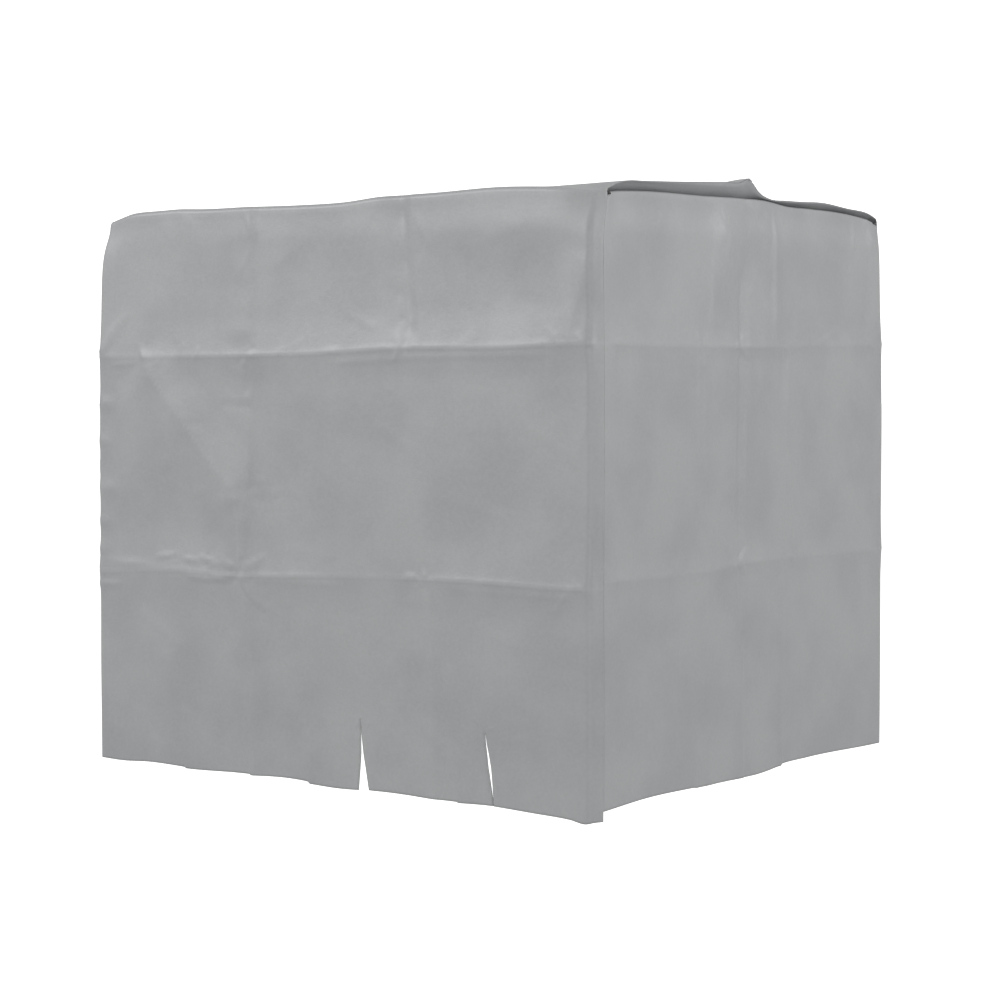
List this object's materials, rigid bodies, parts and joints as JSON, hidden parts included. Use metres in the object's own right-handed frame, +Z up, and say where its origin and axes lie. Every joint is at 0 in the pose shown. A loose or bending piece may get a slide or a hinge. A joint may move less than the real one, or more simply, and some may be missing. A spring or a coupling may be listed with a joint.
{
  "type": "water tank cover",
  "caption": "Box-shaped cloth rain cover, open below, hung in packing folds, with a two-slit tap flap in the front hem.",
  "frame": {"origin": "on the underside of the top, at its middle, where the tank holds the cloth", "axes": "+X along the front and the standing seam of the top, +Z up, the front with the tap flap at -Y"},
  "size_m": [1.2395, 1.1121, 1.1674],
  "materials": {
    "coated_cloth": "silver-grey coated woven cloth, soft satin"
  },
  "bodies": {
    "root": {"front_panel": "coated_cloth", "back_panel": "coated_cloth", "right_gusset": "coated_cloth", "left_gusset": "coated_cloth"}
  },
  "joints": []
}
